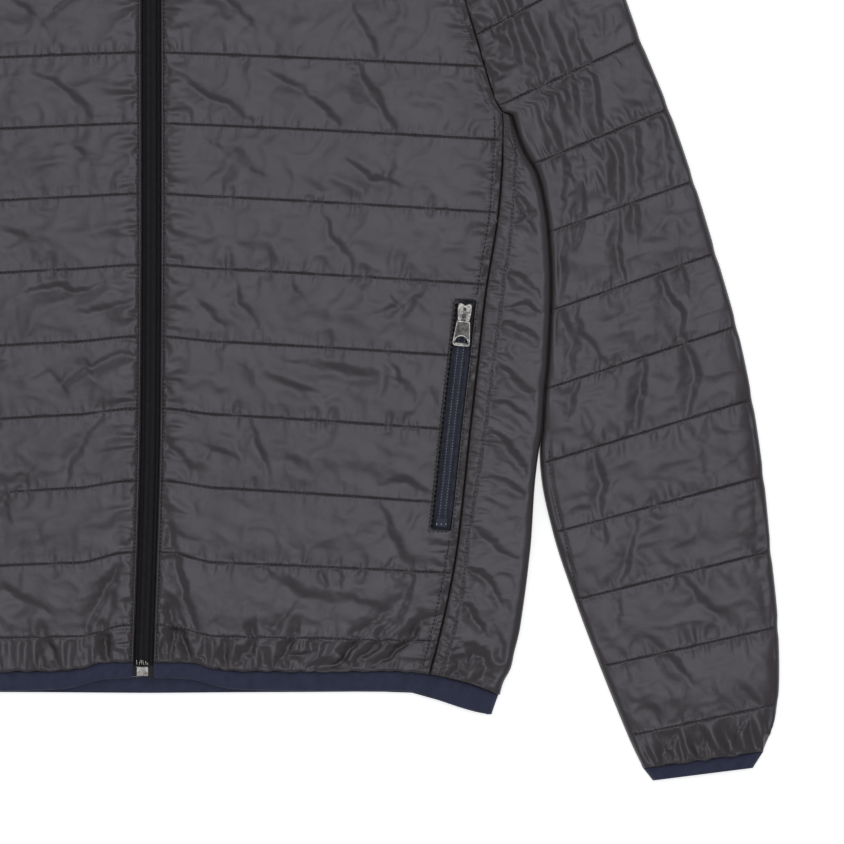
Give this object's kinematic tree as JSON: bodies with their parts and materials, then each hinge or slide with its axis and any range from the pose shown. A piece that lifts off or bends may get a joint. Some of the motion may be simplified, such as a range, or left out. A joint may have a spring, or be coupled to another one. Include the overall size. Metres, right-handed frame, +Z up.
{
  "type": "quilted jacket",
  "caption": "Light quilted zip jacket with a stand collar, plain side panels, elastic-bound hem and cuffs, and zipped hand pockets, lying flat and face up.",
  "frame": {"origin": "on the surface that the jacket lies on, below the middle of its box", "axes": "+X to the wearer's left, +Y towards the collar, +Z up out of the surface"},
  "size_m": [0.8224, 0.7928, 0.0148],
  "materials": {
    "shell": "thin glossy taffeta, charcoal with a brown cast, quilted over padding",
    "binding": "matt navy elastic binding",
    "zip_tape": "black woven tape and coil",
    "pocket_tape": "navy tape with two rows of pale chain stitch",
    "metal": "antique silver cast zip hardware"
  },
  "bodies": {
    "jacket": {"back_panel": "shell", "collar": "shell", "cuff_binding_left": "binding", "cuff_binding_right": "binding", "front_panel_left": "shell", "front_panel_right": "shell", "front_zip_box": "metal", "front_zip_left": "zip_tape", "front_zip_right": "zip_tape", "front_zip_slider": "metal", "hem_binding": "binding", "pocket_slider_left": "metal", "pocket_slider_right": "metal", "pocket_stop_left": "pocket_tape", "pocket_stop_right": "pocket_tape", "pocket_zip_left": "pocket_tape", "pocket_zip_right": "pocket_tape", "side_panel_left": "shell", "side_panel_right": "shell", "sleeve_left": "shell", "sleeve_right": "shell"},
    "front_pull": {"front_zip_pull": "metal"},
    "left_pocket_pull": {"pocket_pull_left": "metal"},
    "right_pocket_pull": {"pocket_pull_right": "metal"}
  },
  "joints": [
    {"name": "front_pull_swing", "type": "hinge", "parent": "jacket", "child": "front_pull", "pos_m": [0.00171, 0.308, 0.0113], "axis": [-1, 0, 0], "range_deg": [0, 150]},
    {"name": "left_pocket_pull_swing", "type": "hinge", "parent": "jacket", "child": "left_pocket_pull", "pos_m": [0.20634, -0.0923, 0.0113], "axis": [-0.994, 0.1095, 0], "range_deg": [0, 150]},
    {"name": "right_pocket_pull_swing", "type": "hinge", "parent": "jacket", "child": "right_pocket_pull", "pos_m": [-0.20634, -0.0923, 0.0113], "axis": [-0.994, -0.1095, 0], "range_deg": [0, 150]}
  ]
}
